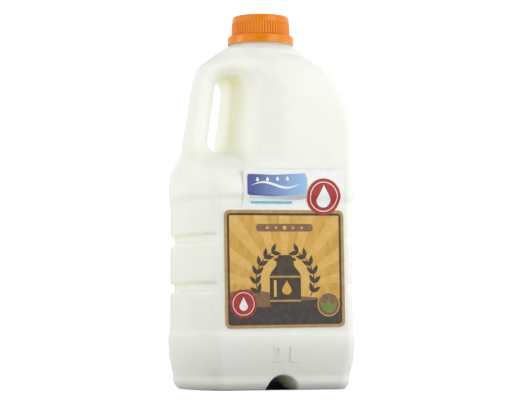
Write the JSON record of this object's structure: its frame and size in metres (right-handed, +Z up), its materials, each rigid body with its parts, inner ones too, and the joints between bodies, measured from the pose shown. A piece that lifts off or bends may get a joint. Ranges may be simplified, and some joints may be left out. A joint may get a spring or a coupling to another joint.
{
  "type": "milk jug",
  "caption": "Tall white plastic milk jug with a moulded side handle, grip grooves round its sides, a ribbed orange screw cap over a tamper band and a flat front label.",
  "frame": {"origin": "middle of the base on the floor, under the neck axis", "axes": "+Z up along the neck axis, -Y toward the labelled front, -X toward the handle"},
  "size_m": [0.126, 0.0922, 0.263],
  "materials": {
    "jug_plastic": "satin translucent white",
    "cap_plastic": "satin orange",
    "label_film": "printed film"
  },
  "bodies": {
    "root": {"jug": "jug_plastic", "cap": "cap_plastic", "tamper_band": "cap_plastic", "label": "label_film"}
  },
  "joints": []
}
